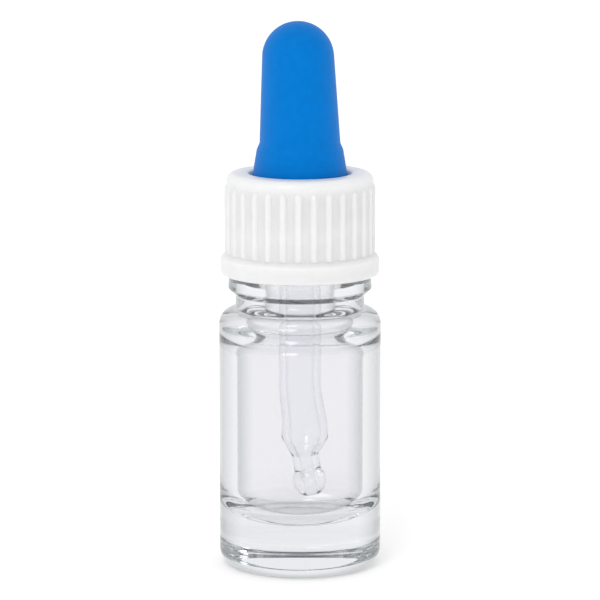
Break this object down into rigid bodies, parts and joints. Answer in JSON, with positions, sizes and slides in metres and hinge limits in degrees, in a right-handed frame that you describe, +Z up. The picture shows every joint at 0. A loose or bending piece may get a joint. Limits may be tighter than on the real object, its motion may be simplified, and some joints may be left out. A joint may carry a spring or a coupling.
{
  "type": "dropper bottle",
  "caption": "Small clear glass dropper bottle with a ribbed white screw cap, a blue rubber bulb and a glass pipette with a bent ball tip.",
  "frame": {"origin": "On the bottle's own axis, in the plane of the table that its base ring stands on.", "axes": "+Z up the bottle's axis, from the base to the top of the bulb. +X is the side that the pipette's tip bends to, the right side seen from the picture's front. -Y is the front."},
  "size_m": [0.022, 0.022, 0.0743],
  "materials": {
    "clear_glass": "gloss",
    "pipette_glass": "gloss",
    "white_plastic": "satin",
    "blue_rubber": "matte"
  },
  "bodies": {
    "bottle": {"glass_bottle": "clear_glass"},
    "dropper": {"rubber_bulb": "blue_rubber", "glass_pipette": "pipette_glass"},
    "cap": {"screw_cap": "white_plastic"}
  },
  "joints": [
    {"name": "dropper_lift", "type": "slide", "parent": "bottle", "child": "dropper", "axis": [0, 0, 1], "range_m": [0, 0.046]},
    {"name": "cap_turn", "type": "hinge", "parent": "dropper", "child": "cap", "pos_m": [0, 0, 0.052], "axis": [0, 0, 1], "range_deg": [0, 720]}
  ]
}
